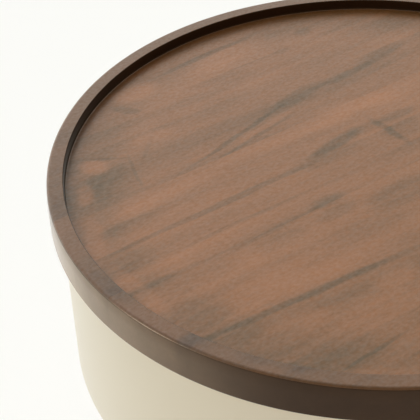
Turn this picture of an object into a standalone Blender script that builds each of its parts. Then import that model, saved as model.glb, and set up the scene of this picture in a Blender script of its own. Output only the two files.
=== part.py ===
"""Round side table: a milled tray lid on a lacquered storage drum with four splayed legs.

Metres, +Z up. The origin is on the floor, under the middle of the table.
"""

import math

import bmesh
import bpy
from mathutils import Matrix, Vector

# Overall height, floor to the top of the tray's rim
TABLE_HEIGHT = 0.500

# Tray lid, edge-glued from staves and milled as one piece
TRAY_DIAMETER = 0.450
TRAY_THICKNESS = 0.027
RIM_WIDTH = 0.012
RECESS_DEPTH = 0.008
RIM_OUTER_ROUND = 0.0020
RIM_INNER_ROUND = 0.0008
RECESS_COVE = 0.0015
TRAY_FOOT_ROUND = 0.0013

# Felt dots that the lid rests on
TRAY_PAD_DIAMETER = 0.007
TRAY_PAD_THICKNESS = 0.0012
TRAY_PAD_COUNT = 6

# Register ring under the lid, which drops into the drum's mouth
REGISTER_HEIGHT = 0.012
REGISTER_WIDTH = 0.016
REGISTER_PLAY = 0.0015
REGISTER_ROUND = 0.0015
REGISTER_SCREW_COUNT = 6
TRAY_SCREW_COVER = 0.008

# Drum shell
TRAY_OVERHANG = 0.0074
DRUM_HEIGHT = 0.122
DRUM_WALL = 0.009
DRUM_EDGE_ROUND = 0.0010

# Floor panel of the drum, and the hoop that it stands on
FLOOR_THICKNESS = 0.012
FLOOR_PLAY = 0.0004
HOOP_HEIGHT = 0.015
HOOP_WIDTH = 0.018
HOOP_LIFT = 0.0010
HOOP_SCREW_COUNT = 6
FLOOR_SCREW_COVER = 0.003

# Steel leg plates, each with a boss cut square to its slanted leg
PLATE_SIDE = 0.072
PLATE_CORNER_ROUND = 0.008
PLATE_THICKNESS = 0.0025
PLATE_TO_HOOP = 0.014
PLATE_HOLE_INSET = 0.010
BOSS_DIAMETER = 0.034

# Legs, turned and tapered, hung on hanger bolts and standing on felt pads
LEG_COUNT = 4
LEG_FIRST_ANGLE_DEG = 45.0
LEG_SPLAY_DEG = 10.0
LEG_TOP_DIAMETER = 0.044
LEG_FOOT_DIAMETER = 0.026
LEG_TOP_ROUND = 0.0025
LEG_TO_PLATE = 0.004
BOLT_DIAMETER = 0.008
BOLT_IN_LEG = 0.036
BOLT_END_INSET = 0.0005
LEG_PAD_MARGIN = 0.002
LEG_PAD_THICKNESS = 0.003

# Countersunk wood screws
SCREW_HEAD_DIAMETER = 0.0072
SCREW_SHANK_DIAMETER = 0.0036
SCREW_POINT = 0.003
SCREW_SOCKET_DIAMETER = 0.0030
SCREW_SOCKET_DEPTH = 0.0012

# Clearances: a seat between touching faces, and the ease of a hole round its screw or bolt
SEAT = 0.0003
HOLE_EASE = 0.0003

# How far a drill or a helper runs past the face that it goes through
OVERRUN = 0.002

# Facets round each kind of turned piece, and in each rounded corner
LARGE_FACETS = 80
LEG_FACETS = 24
SMALL_FACETS = 10
ROUND_STEPS = 2
SMOOTH_ANGLE_DEG = 30.0

# Heights and radii that follow from the sizes above
TRAY_UNDER_Z = TABLE_HEIGHT - TRAY_THICKNESS
TRAY_RADIUS = TRAY_DIAMETER / 2
PANEL_THICKNESS = TRAY_THICKNESS - RECESS_DEPTH
DRUM_TOP_Z = TRAY_UNDER_Z - TRAY_PAD_THICKNESS - 2 * SEAT
DRUM_FOOT_Z = DRUM_TOP_Z - DRUM_HEIGHT
DRUM_RADIUS = TRAY_RADIUS - TRAY_OVERHANG
DRUM_BORE = DRUM_RADIUS - DRUM_WALL
REGISTER_RADIUS = DRUM_BORE - REGISTER_PLAY
FLOOR_RADIUS = DRUM_BORE - FLOOR_PLAY
HOOP_BORE = FLOOR_RADIUS - HOOP_WIDTH
HOOP_FOOT_Z = DRUM_FOOT_Z + HOOP_LIFT
FLOOR_UNDER_Z = HOOP_FOOT_Z + HOOP_HEIGHT + SEAT
PLATE_UNDER_Z = FLOOR_UNDER_Z - SEAT - PLATE_THICKNESS
LEG_CIRCLE = HOOP_BORE - PLATE_TO_HOOP - PLATE_SIDE / 2
LEG_SPLAY = math.radians(LEG_SPLAY_DEG)
LEG_DOWN = Vector((math.sin(LEG_SPLAY), 0.0, -math.cos(LEG_SPLAY)))
BOSS_DEPTH = LEG_TO_PLATE + LEG_TOP_DIAMETER / 2 * math.sin(LEG_SPLAY)
LEG_FALL = PLATE_UNDER_Z - LEG_PAD_THICKNESS - SEAT
LEG_LENGTH = LEG_FALL / math.cos(LEG_SPLAY)

HEAD_DOWN = Matrix.Rotation(math.pi, 4, "X")


def clear_scene():
    for obj in list(bpy.data.objects):
        bpy.data.objects.remove(obj)


def finish(name, colour, roughness, metallic=0.0):
    """A Principled material of one linear colour."""
    material = bpy.data.materials.new(name)
    material.use_nodes = True
    shader = material.node_tree.nodes["Principled BSDF"]
    shader.inputs["Base Color"].default_value = (*colour, 1.0)
    shader.inputs["Roughness"].default_value = roughness
    shader.inputs["Metallic"].default_value = metallic
    return material


def rounded(corners):
    """Outline points from (radius, height, rounding) corners, each rounding drawn as an arc."""
    points = []
    for i, (r, z, fillet) in enumerate(corners):
        corner = Vector((r, z))
        if not fillet:
            points.append(corner)
            continue
        before = (Vector(corners[i - 1][:2]) - corner).normalized()
        after = (Vector(corners[(i + 1) % len(corners)][:2]) - corner).normalized()
        half = before.angle(after) / 2
        middle = corner + (before + after).normalized() * fillet / math.sin(half)
        start = corner + before * fillet / math.tan(half) - middle
        end = corner + after * fillet / math.tan(half) - middle
        sweep = -start.angle_signed(end)
        for step in range(ROUND_STEPS + 1):
            points.append(middle + Matrix.Rotation(sweep * step / ROUND_STEPS, 2) @ start)
    return points


def block_outline(inner, outer, foot, top):
    """The section of a plain ring or, with no inner radius, of a disc."""
    return [(inner, foot), (outer, foot), (outer, top), (inner, top)]


def mesh_from(bm, name):
    mesh = bpy.data.meshes.new(name)
    bm.to_mesh(mesh)
    bm.free()
    mesh.shade_smooth()
    mesh.set_sharp_from_angle(angle=math.radians(SMOOTH_ANGLE_DEG))
    return mesh


def turned_mesh(name, outline, facets):
    """A closed outline of (radius, height) points spun round Z."""
    bm = bmesh.new()
    verts = [bm.verts.new((r, 0.0, z)) for r, z in outline]
    edges = [bm.edges.new(pair) for pair in zip(verts, verts[1:] + verts[:1])]
    bmesh.ops.spin(bm, geom=verts + edges, axis=(0, 0, 1), cent=(0, 0, 0),
                   angle=math.tau, steps=facets, use_merge=True)
    bmesh.ops.remove_doubles(bm, verts=bm.verts, dist=1e-6)
    bmesh.ops.dissolve_degenerate(bm, edges=bm.edges, dist=1e-7)
    on_axis = [e for e in bm.edges if all(v.co.xy.length < 1e-6 for v in e.verts)]
    bmesh.ops.delete(bm, geom=on_axis, context="EDGES")
    bmesh.ops.recalc_face_normals(bm, faces=bm.faces)
    return mesh_from(bm, name)


def place_in(obj, parent, matrix):
    bpy.context.scene.collection.objects.link(obj)
    obj.parent = parent
    obj.matrix_local = matrix
    return obj


def piece(name, mesh, material, parent=None, matrix=Matrix.Identity(4)):
    """An object of its own for one physical piece, placed in its parent's frame."""
    if not mesh.materials:
        mesh.materials.append(material)
    return place_in(bpy.data.objects.new(name, mesh), parent, matrix)


def helper(name, mesh, parent=None, matrix=Matrix.Identity(4)):
    """A wire guide for a cut or a join, which is no piece of the table."""
    guide = place_in(bpy.data.objects.new(name, mesh), parent, matrix)
    guide.hide_render = True
    guide.display_type = "WIRE"
    return guide


def station(name, matrix, parent=None):
    """A bare frame that pieces hang on."""
    return place_in(bpy.data.objects.new(name, None), parent, matrix)


def combine(target, operation, guide):
    boolean = target.modifiers.new(guide.name, "BOOLEAN")
    boolean.operation = operation
    boolean.solver = "EXACT"
    boolean.object = guide


def ring_places(count, radius, height, first_angle=0.0):
    """Frames spread evenly round Z, each with its X axis pointing outwards."""
    places = []
    for i in range(count):
        turn = Matrix.Rotation(first_angle + math.tau * i / count, 4, "Z")
        places.append(turn @ Matrix.Translation((radius, 0.0, height)))
    return places


def screw_outline(length):
    """A countersunk screw with a driver socket, its head's face at height 0 and its point below."""
    head = SCREW_HEAD_DIAMETER / 2
    shank = SCREW_SHANK_DIAMETER / 2
    socket = SCREW_SOCKET_DIAMETER / 2
    return [(0.0, -length), (shank, SCREW_POINT - length), (shank, shank - head), (head, 0.0),
            (socket, 0.0), (socket, -SCREW_SOCKET_DEPTH), (0.0, -SCREW_SOCKET_DEPTH)]


def screw_hole_outline(length):
    """The screw's own outline, eased all round and open above its head."""
    head = SCREW_HEAD_DIAMETER / 2 + HOLE_EASE
    shank = SCREW_SHANK_DIAMETER / 2 + HOLE_EASE
    tip = -length - HOLE_EASE
    return [(0.0, tip), (shank, tip + SCREW_POINT), (shank, shank - head), (head, 0.0),
            (head, OVERRUN), (0.0, OVERRUN)]


def make_screws(stem, places, length, steel, parent, drilled):
    """One screw at each place, and a shared drill for the pieces that they go through."""
    screw = turned_mesh(stem, screw_outline(length), SMALL_FACETS)
    hole = turned_mesh(f"{stem}_hole", screw_hole_outline(length), SMALL_FACETS)
    holes = bmesh.new()
    for i, place in enumerate(places, 1):
        piece(f"{stem}_{i}", screw, steel, parent, place)
        first = len(holes.verts)
        holes.from_mesh(hole)
        holes.verts.ensure_lookup_table()
        bmesh.ops.transform(holes, matrix=place, verts=holes.verts[first:])
    drill = helper(f"{stem}_drill", mesh_from(holes, f"{stem}_drill"), parent)
    for target in drilled:
        combine(target, "DIFFERENCE", drill)


def make_tray_top(lift, wood):
    """The lid: a flat panel with a raised, flat-topped rim, its underside at height 0."""
    rim_bore = TRAY_RADIUS - RIM_WIDTH
    outline = rounded([
        (0.0, 0.0, 0.0),
        (TRAY_RADIUS, 0.0, TRAY_FOOT_ROUND),
        (TRAY_RADIUS, TRAY_THICKNESS, RIM_OUTER_ROUND),
        (rim_bore, TRAY_THICKNESS, RIM_INNER_ROUND),
        (rim_bore, PANEL_THICKNESS, RECESS_COVE),
        (0.0, PANEL_THICKNESS, 0.0),
    ])
    return piece("tray_top", turned_mesh("tray_top", outline, LARGE_FACETS), wood, lift)


def make_register(lift, plywood, steel, tray):
    """The ring that centres the lid in the drum's mouth, its lower corner eased to lead it in."""
    foot = -SEAT - REGISTER_HEIGHT
    bore = REGISTER_RADIUS - REGISTER_WIDTH
    outline = rounded([
        (bore, foot, 0.0),
        (REGISTER_RADIUS, foot, REGISTER_ROUND),
        (REGISTER_RADIUS, -SEAT, 0.0),
        (bore, -SEAT, 0.0),
    ])
    register = piece("tray_register", turned_mesh("tray_register", outline, LARGE_FACETS), plywood, lift)
    middle = REGISTER_RADIUS - REGISTER_WIDTH / 2
    places = ring_places(REGISTER_SCREW_COUNT, middle, foot + SEAT)
    length = REGISTER_HEIGHT + PANEL_THICKNESS - TRAY_SCREW_COVER
    make_screws("register_screw", [p @ HEAD_DOWN for p in places], length, steel, lift, [register, tray])


def make_tray_pads(lift, felt):
    """Felt dots under the lid, over the middle of the drum's wall."""
    outline = block_outline(0.0, TRAY_PAD_DIAMETER / 2, -SEAT - TRAY_PAD_THICKNESS, -SEAT)
    pad = turned_mesh("tray_pad", outline, SMALL_FACETS)
    places = ring_places(TRAY_PAD_COUNT, DRUM_RADIUS - DRUM_WALL / 2, 0.0)
    for i, place in enumerate(places, 1):
        piece(f"tray_pad_{i}", pad, felt, lift, place)


def make_drum_shell(lacquer):
    """The open-ended wall of the drum."""
    outline = rounded([
        (DRUM_BORE, DRUM_FOOT_Z, DRUM_EDGE_ROUND),
        (DRUM_RADIUS, DRUM_FOOT_Z, DRUM_EDGE_ROUND),
        (DRUM_RADIUS, DRUM_TOP_Z, DRUM_EDGE_ROUND),
        (DRUM_BORE, DRUM_TOP_Z, DRUM_EDGE_ROUND),
    ])
    piece("drum_shell", turned_mesh("drum_shell", outline, LARGE_FACETS), lacquer)


def make_drum_floor(plywood, steel):
    """The hoop glued inside the foot of the shell, and the floor panel screwed down on it."""
    ring = block_outline(HOOP_BORE, FLOOR_RADIUS, HOOP_FOOT_Z, HOOP_FOOT_Z + HOOP_HEIGHT)
    disc = block_outline(0.0, FLOOR_RADIUS, FLOOR_UNDER_Z, FLOOR_UNDER_Z + FLOOR_THICKNESS)
    hoop = piece("floor_hoop", turned_mesh("floor_hoop", ring, LARGE_FACETS), plywood)
    floor = piece("drum_floor", turned_mesh("drum_floor", disc, LARGE_FACETS), plywood)
    places = ring_places(HOOP_SCREW_COUNT, FLOOR_RADIUS - HOOP_WIDTH / 2, HOOP_FOOT_Z + SEAT)
    length = HOOP_HEIGHT + FLOOR_THICKNESS - FLOOR_SCREW_COVER
    make_screws("hoop_screw", [p @ HEAD_DOWN for p in places], length, steel, None, [hoop, floor])
    return floor


def slice_solid(bm, point, away):
    """Cuts off what lies beyond a plane, and closes the cut."""
    sliced = bmesh.ops.bisect_plane(bm, geom=bm.verts[:] + bm.edges[:] + bm.faces[:],
                                    plane_co=point, plane_no=away, clear_outer=True)
    rim = [e for e in sliced["geom_cut"] if isinstance(e, bmesh.types.BMEdge)]
    bmesh.ops.contextual_create(bm, geom=rim)
    bmesh.ops.recalc_face_normals(bm, faces=bm.faces)


def plate_mesh():
    """A flat square plate with round corners, its underside at height 0."""
    bm = bmesh.new()
    size = Matrix.Diagonal((PLATE_SIDE, PLATE_SIDE, PLATE_THICKNESS, 1.0))
    lift = Matrix.Translation((0.0, 0.0, PLATE_THICKNESS / 2))
    bmesh.ops.create_cube(bm, size=1.0, matrix=lift @ size)
    upright = [e for e in bm.edges if e.verts[0].co.xy == e.verts[1].co.xy]
    bmesh.ops.bevel(bm, geom=upright, offset=PLATE_CORNER_ROUND, segments=ROUND_STEPS, profile=0.5,
                    affect="EDGES")
    return mesh_from(bm, "leg_plate")


def boss_mesh():
    """The post below a plate that a leg seats on, sunk half-way into the plate."""
    radius = BOSS_DIAMETER / 2
    blank = block_outline(0.0, radius, -BOSS_DEPTH - radius, PLATE_THICKNESS / 2)
    bm = bmesh.new()
    bm.from_mesh(turned_mesh("boss_blank", blank, LEG_FACETS))
    slice_solid(bm, LEG_DOWN * BOSS_DEPTH, LEG_DOWN)
    return mesh_from(bm, "leg_boss")


def leg_mesh():
    """A tapered leg along its own slanted axis, with the foot cut level."""
    top = -BOSS_DEPTH - SEAT
    spare = LEG_FOOT_DIAMETER
    taper = (LEG_TOP_DIAMETER - LEG_FOOT_DIAMETER) / 2 / (LEG_LENGTH + top)
    blank = rounded([
        (0.0, -LEG_LENGTH - spare, 0.0),
        (LEG_FOOT_DIAMETER / 2 - taper * spare, -LEG_LENGTH - spare, 0.0),
        (LEG_TOP_DIAMETER / 2, top, LEG_TOP_ROUND),
        (0.0, top, 0.0),
    ])
    bm = bmesh.new()
    bm.from_mesh(turned_mesh("leg_blank", blank, LEG_FACETS))
    floor_side = Vector((-LEG_DOWN.x, 0.0, LEG_DOWN.z))
    slice_solid(bm, Vector((0.0, 0.0, -LEG_LENGTH)), floor_side)
    return mesh_from(bm, "leg")


def bolt_mesh():
    """The hanger bolt along a leg's axis, from inside its plate down into the leg."""
    radius = BOLT_DIAMETER / 2
    level = PLATE_THICKNESS - BOLT_END_INSET - radius * math.sin(LEG_SPLAY)
    outline = block_outline(0.0, radius, -BOSS_DEPTH - BOLT_IN_LEG, level / math.cos(LEG_SPLAY))
    return turned_mesh("hanger_bolt", outline, SMALL_FACETS)


def bolt_bore_mesh():
    """The bolt's hole, open right through the plate and blind in the leg."""
    foot = -BOSS_DEPTH - BOLT_IN_LEG - HOLE_EASE
    outline = block_outline(0.0, BOLT_DIAMETER / 2 + HOLE_EASE, foot, PLATE_THICKNESS + OVERRUN)
    return turned_mesh("bolt_bore", outline, SMALL_FACETS)


def make_legs(wood, steel, felt, floor):
    """The leg plates screwed up to the floor panel, each with its bolt, leg and felt pad."""
    plate_data = plate_mesh()
    boss_data = boss_mesh()
    bolt_data = bolt_mesh()
    bore_data = bolt_bore_mesh()
    leg_data = leg_mesh()
    pad_outline = block_outline(0.0, LEG_FOOT_DIAMETER / 2 - LEG_PAD_MARGIN, 0.0, LEG_PAD_THICKNESS)
    pad_data = turned_mesh("leg_pad", pad_outline, LEG_FACETS)
    at_foot = Matrix.Translation((LEG_FALL * math.tan(LEG_SPLAY), 0.0, -PLATE_UNDER_Z))
    slant = Matrix.Rotation(-LEG_SPLAY, 4, "Y")
    reach = PLATE_SIDE / 2 - PLATE_HOLE_INSET
    corners = [(x, y) for x in (-reach, reach) for y in (-reach, reach)]
    plates = []
    screw_places = []
    first_angle = math.radians(LEG_FIRST_ANGLE_DEG)
    for i, place in enumerate(ring_places(LEG_COUNT, LEG_CIRCLE, PLATE_UNDER_Z, first_angle), 1):
        under_plate = station(f"leg_station_{i}", place)
        along_leg = station(f"leg_axis_{i}", slant, under_plate)
        bore = helper(f"bolt_bore_{i}", bore_data, along_leg)
        plate = piece(f"leg_plate_{i}", plate_data, steel, under_plate)
        combine(plate, "UNION", helper(f"leg_boss_{i}", boss_data, under_plate))
        combine(plate, "DIFFERENCE", bore)
        leg = piece(f"leg_{i}", leg_data, wood, along_leg)
        combine(leg, "DIFFERENCE", bore)
        piece(f"hanger_bolt_{i}", bolt_data, steel, along_leg)
        piece(f"leg_pad_{i}", pad_data, felt, under_plate, at_foot)
        plates.append(plate)
        for x, y in corners:
            screw_places.append(place @ Matrix.Translation((x, y, SEAT)) @ HEAD_DOWN)
    length = PLATE_THICKNESS + FLOOR_THICKNESS - FLOOR_SCREW_COVER
    make_screws("plate_screw", screw_places, length, steel, None, plates + [floor])


clear_scene()
walnut = finish("walnut_stained_wood", (0.107, 0.042, 0.019), 0.38)
cream = finish("cream_lacquer", (0.76, 0.69, 0.55), 0.45)
birch = finish("birch_plywood", (0.60, 0.44, 0.26), 0.55)
zinc = finish("zinc_plated_steel", (0.56, 0.56, 0.55), 0.35, 1.0)
grey_felt = finish("grey_felt", (0.10, 0.095, 0.09), 0.95)

tray_lift = station("tray_lift", Matrix.Translation((0.0, 0.0, TRAY_UNDER_Z)))
tray_top = make_tray_top(tray_lift, walnut)
make_register(tray_lift, birch, zinc, tray_top)
make_tray_pads(tray_lift, grey_felt)
make_drum_shell(cream)
drum_floor = make_drum_floor(birch, zinc)
make_legs(walnut, zinc, grey_felt, drum_floor)
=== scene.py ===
import math

import bmesh
import bpy
from mathutils import Matrix, Vector


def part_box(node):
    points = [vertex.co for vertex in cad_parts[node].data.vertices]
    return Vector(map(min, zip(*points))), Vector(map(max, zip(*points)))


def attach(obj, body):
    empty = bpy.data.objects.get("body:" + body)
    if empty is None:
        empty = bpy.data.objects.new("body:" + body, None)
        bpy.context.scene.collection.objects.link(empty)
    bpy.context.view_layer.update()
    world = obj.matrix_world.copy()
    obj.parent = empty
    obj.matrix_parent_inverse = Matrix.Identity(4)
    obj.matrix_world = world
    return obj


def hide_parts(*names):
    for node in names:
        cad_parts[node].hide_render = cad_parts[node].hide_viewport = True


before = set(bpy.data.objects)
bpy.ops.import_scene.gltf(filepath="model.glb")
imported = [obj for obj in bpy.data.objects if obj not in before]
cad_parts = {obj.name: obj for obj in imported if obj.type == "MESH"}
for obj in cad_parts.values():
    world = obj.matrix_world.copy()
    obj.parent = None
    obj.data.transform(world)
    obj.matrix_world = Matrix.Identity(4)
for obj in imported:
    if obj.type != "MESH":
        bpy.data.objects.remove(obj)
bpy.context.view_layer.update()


# Drum shell: the drum's round wall, bent plywood with its four edges eased.
# It is sprayed inside and out with a satin cream lacquer. The floor hoop is glued inside its foot.
MM = 0.001
NEAR = 0.02 * MM
ALIGNED = 0.99
LARGE_SIDES = 360
SHELL_WALL = 9 * MM
SHELL_EDGE_ROUND = 1.0 * MM
ROUND_STEPS = 5
SMOOTH_ANGLE = math.radians(40)
CREAM = "#E6D9BE"
CREAM_THIN = "#E2D4B7"
PEEL_WIDTH = 5 * MM
PEEL_DEPTH = 0.03 * MM
COAT_CLOUD = 90 * MM
CREAM_ROUGHNESS = (0.40, 0.50)
CREAM_COAT_ROUGHNESS = 0.35
LACQUER_IOR = 1.5


def start(name, primitive, **size):
    """Adds a primitive at its size and place, and opens it for editing with that place in its mesh."""
    bpy.ops.object.select_all(action="DESELECT")
    primitive(**size)
    made = bpy.context.object
    made.name = name
    made.data.name = name
    bpy.ops.object.transform_apply()
    bpy.ops.object.mode_set(mode="EDIT")
    return made


def pick(mode, wanted):
    """Selects only the wanted edges or faces of the mesh that is open for editing."""
    bpy.ops.mesh.select_mode(type=mode)
    bpy.ops.mesh.select_all(action="DESELECT")
    mesh = bpy.context.edit_object.data
    bm = bmesh.from_edit_mesh(mesh)
    for part in bm.edges if mode == "EDGE" else bm.faces:
        if wanted(part):
            part.select_set(True)
    bmesh.update_edit_mesh(mesh)


def faces_along(direction):
    """A test for the flat faces that look along a direction."""
    return lambda face: face.normal.dot(direction) > ALIGNED


def start_ring(name, low, high, wall):
    """Adds an upright ring that fills a box of the frame, with a wall of that thickness, and opens it."""
    ring = start(name, bpy.ops.mesh.primitive_cylinder_add, vertices=LARGE_SIDES, radius=high.x,
                 depth=high.z - low.z, location=(0, 0, (low.z + high.z) / 2))
    pick("FACE", lambda face: abs(face.normal.z) > ALIGNED)
    bpy.ops.mesh.inset(thickness=wall)
    bpy.ops.mesh.bridge_edge_loops()
    return ring


def on_ring(radius, height):
    """A test for the edges that run round the middle axis at one radius and height."""
    return lambda edge: all(abs(v.co.xy.length - radius) < NEAR and abs(v.co.z - height) < NEAR
                            for v in edge.verts)


def round_edges(wanted, radius):
    """Rounds the wanted edges of the mesh that is open for editing."""
    pick("EDGE", wanted)
    bpy.ops.mesh.bevel(offset=radius, segments=ROUND_STEPS, profile=0.5, affect="EDGES")


def shade(made):
    """Leaves edit mode with smooth rounds and flat flats, and sharp only at real corners."""
    bpy.context.view_layer.objects.active = made
    bpy.ops.object.mode_set(mode="EDIT")
    bpy.ops.mesh.select_all(action="SELECT")
    bpy.ops.mesh.normals_make_consistent(inside=False)
    bpy.ops.object.mode_set(mode="OBJECT")
    bpy.ops.object.select_all(action="DESELECT")
    made.select_set(True)
    bpy.ops.object.shade_smooth_by_angle(angle=SMOOTH_ANGLE)
    flats = made.modifiers.new("flat_flats", "WEIGHTED_NORMAL")
    flats.keep_sharp = True
    bpy.ops.object.modifier_apply(modifier=flats.name)


def dress(made, finish, body, slot, *nodes):
    """Gives a finished mesh its material and its body, and hides the frame's nodes that it stands for. The
    slot is not used.
    """
    made.data.materials.clear()
    made.data.materials.append(finish)
    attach(made, body)
    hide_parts(*nodes)


def linear(hex_value):
    """A linear colour from an sRGB hex value."""
    shares = [int(hex_value[i:i + 2], 16) / 255 for i in (1, 3, 5)]
    return (*(s / 12.92 if s <= 0.04045 else ((s + 0.055) / 1.055) ** 2.4 for s in shares), 1.0)


def new_finish(name):
    """A material with an empty node tree, and that tree."""
    finish = bpy.data.materials.new(name)
    finish.use_nodes = True
    finish.node_tree.nodes.clear()
    return finish, finish.node_tree


def node(tree, kind, inputs=None, out=0, stops=(), steps="LINEAR", **settings):
    """Adds a node, fills its inputs with values or other nodes' outputs, and returns one of its outputs."""
    made = tree.nodes.new("ShaderNode" + kind)
    for name, value in settings.items():
        setattr(made, name, value)
    sockets = {socket.identifier: socket for socket in made.inputs}
    for name, value in (inputs or {}).items():
        if isinstance(value, bpy.types.NodeSocket):
            tree.links.new(value, sockets[name])
        else:
            sockets[name].default_value = value
    if stops:
        made.color_ramp.interpolation = steps
        while len(made.color_ramp.elements) < len(stops):
            made.color_ramp.elements.new(1.0)
        for element, (position, colour) in zip(made.color_ramp.elements, stops):
            element.position = position
            element.color = colour
    return made.outputs[out] if made.outputs else made


def cream_lacquer():
    """Satin lacquer sprayed on primed plywood: an even cream with a soft gloss and a faint orange peel."""
    finish, tree = new_finish("satin_cream_lacquer")
    place = node(tree, "TexCoord", out="Object")
    # The peel's dimples are about 2 mm wide, and are drawn at 5 mm, because finer ones don't show
    peel = node(tree, "TexNoise", {"Vector": place, "Scale": 1 / PEEL_WIDTH, "Detail": 1.0})
    coat = node(tree, "TexNoise", {"Vector": place, "Scale": 1 / COAT_CLOUD, "Detail": 2.0})
    colour = node(tree, "Mix", {"Factor_Float": coat, "A_Color": linear(CREAM_THIN),
                                "B_Color": linear(CREAM)}, out=2, data_type="RGBA")
    gloss = node(tree, "MapRange", {"Value": coat, "To Min": CREAM_ROUGHNESS[0],
                                    "To Max": CREAM_ROUGHNESS[1]})
    relief = node(tree, "Bump", {"Height": peel, "Strength": 0.3, "Distance": PEEL_DEPTH})
    shader = node(tree, "BsdfPrincipled", {"Base Color": colour, "Roughness": gloss, "IOR": LACQUER_IOR,
                                           "Coat Weight": 1.0, "Coat Roughness": CREAM_COAT_ROUGHNESS,
                                           "Normal": relief})
    node(tree, "OutputMaterial", {"Surface": shader})
    return finish


low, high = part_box("drum_shell")
drum_shell = start_ring("drum_shell_lacquered", low, high, SHELL_WALL)
for shell_radius in (high.x, high.x - SHELL_WALL):
    for shell_height in (low.z, high.z):
        round_edges(on_ring(shell_radius, shell_height), SHELL_EDGE_ROUND)
shade(drum_shell)
dress(drum_shell, cream_lacquer(), "base", "cream_lacquer", "drum_shell")


# Floor hoop: a ring of birch plywood glued inside the shell's foot, which carries the floor panel.
# It is sawn round, eased by hand, and drilled and countersunk from below for six screws.
HOOP_WIDTH = 18 * MM
HOOP_PLIES = 11
SCREWS_PER_RING = 6
SAWN_EDGE_ROUND = 0.5 * MM
SCREW_HEAD_RADIUS = 3.6 * MM
SCREW_SHANK_RADIUS = 1.8 * MM
HOLE_EASE = 0.3 * MM
HOLE_SIDES = 32
OVERRUN = 2 * MM
BIRCH_PALE = "#D9BC92"
BIRCH_MID = "#C9A677"
BIRCH_END_GRAIN = "#A98354"
BIRCH_FIGURE = (110 * MM, 7 * MM)
BIRCH_EDGE_FIGURE = (7 * MM, 1.2 * MM)
BIRCH_ROUGHNESS = (0.50, 0.65)
PLY_SKIN = 0.05 * MM
GRAIN_DEPTH = 0.05 * MM
WOOD_IOR = 1.5
UP = Vector((0, 0, 1))


def numbered(name, count):
    """The names of like pieces, counted from one."""
    return [f"{name}_{i}" for i in range(1, count + 1)]


def extrude(distance):
    """Extrudes the selected faces straight up or down."""
    bpy.ops.mesh.extrude_region_move(TRANSFORM_OT_translate={"value": (0, 0, distance)})


def combine(made, tool, operation):
    """Cuts a piece with another solid, or joins that to it, and removes the other solid."""
    boolean = made.modifiers.new("combine", "BOOLEAN")
    boolean.operation = operation
    boolean.solver = "EXACT"
    boolean.object = tool
    bpy.context.view_layer.objects.active = made
    bpy.ops.object.modifier_apply(modifier=boolean.name)
    bpy.data.objects.remove(tool)


def drill_for(made, screws):
    """Drills and countersinks a piece from below for the frame's screws of those names."""
    bpy.ops.object.mode_set(mode="OBJECT")
    head = SCREW_HEAD_RADIUS + HOLE_EASE
    shank = SCREW_SHANK_RADIUS + HOLE_EASE
    sink = head - shank
    drills = []
    for screw in screws:
        low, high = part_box(screw)
        middle = (low + high) / 2
        drills.append(start("drill", bpy.ops.mesh.primitive_cone_add, vertices=HOLE_SIDES, radius1=head,
                            radius2=shank, depth=sink, location=(middle.x, middle.y, low.z + sink / 2)))
        pick("FACE", faces_along(UP))
        extrude(high.z + HOLE_EASE - low.z - sink)
        pick("FACE", faces_along(-UP))
        extrude(-OVERRUN)
        bpy.ops.object.mode_set(mode="OBJECT")
    for drill in drills:
        drill.select_set(True)
    bpy.ops.object.join()
    combine(made, bpy.context.object, "DIFFERENCE")


def per(along, across):
    """The scale that makes one unit of each stretch of that many metres, along the grain and across it."""
    return (1 / along, 1 / across, 1 / across)


def birch_plywood(name, board, plies):
    """Sanded birch plywood: a pale, softly figured face veneer, and plies lying crosswise on its edges."""
    finish, tree = new_finish(name)
    low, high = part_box(board)
    pair = 2 * (high.z - low.z + 2 * PLY_SKIN) / plies
    place = node(tree, "TexCoord", out="Object")
    height = node(tree, "SeparateXYZ", {"Vector": place}, out="Z")
    ply = node(tree, "MapRange", {"Value": height, "From Min": low.z - PLY_SKIN,
                                  "From Max": low.z - PLY_SKIN + pair}, clamp=False)
    crosswise = node(tree, "Math", {"Value": node(tree, "Math", {"Value": ply}, operation="FRACT"),
                                    "Value_001": 0.5}, operation="GREATER_THAN")
    lengthwise_veneer = node(tree, "Mapping", {"Vector": place, "Scale": per(*BIRCH_FIGURE)})
    crosswise_veneer = node(tree, "Mapping", {"Vector": place, "Rotation": (0, 0, math.pi / 2),
                                              "Scale": per(*BIRCH_EDGE_FIGURE)})
    veneer = node(tree, "Mix", {"Factor_Float": crosswise, "A_Vector": lengthwise_veneer,
                                "B_Vector": crosswise_veneer}, out=1, data_type="VECTOR")
    figure = node(tree, "TexNoise", {"Vector": veneer, "Scale": 1.0, "Detail": 4.0, "Distortion": 0.6})
    face = node(tree, "ValToRGB", {"Fac": figure},
                stops=[(0.3, linear(BIRCH_PALE)), (0.75, linear(BIRCH_MID))])
    edge = node(tree, "ValToRGB", {"Fac": figure},
                stops=[(0.3, linear(BIRCH_MID)), (0.7, linear(BIRCH_END_GRAIN))])
    colour = node(tree, "Mix", {"Factor_Float": crosswise, "A_Color": face, "B_Color": edge}, out=2,
                  data_type="RGBA")
    gloss = node(tree, "MapRange", {"Value": figure, "To Min": BIRCH_ROUGHNESS[0],
                                    "To Max": BIRCH_ROUGHNESS[1]})
    relief = node(tree, "Bump", {"Height": figure, "Strength": 0.3, "Distance": GRAIN_DEPTH})
    shader = node(tree, "BsdfPrincipled", {"Base Color": colour, "Roughness": gloss, "IOR": WOOD_IOR,
                                           "Normal": relief})
    node(tree, "OutputMaterial", {"Surface": shader})
    return finish


HOOP_SCREWS = numbered("hoop_screw", SCREWS_PER_RING)

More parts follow.
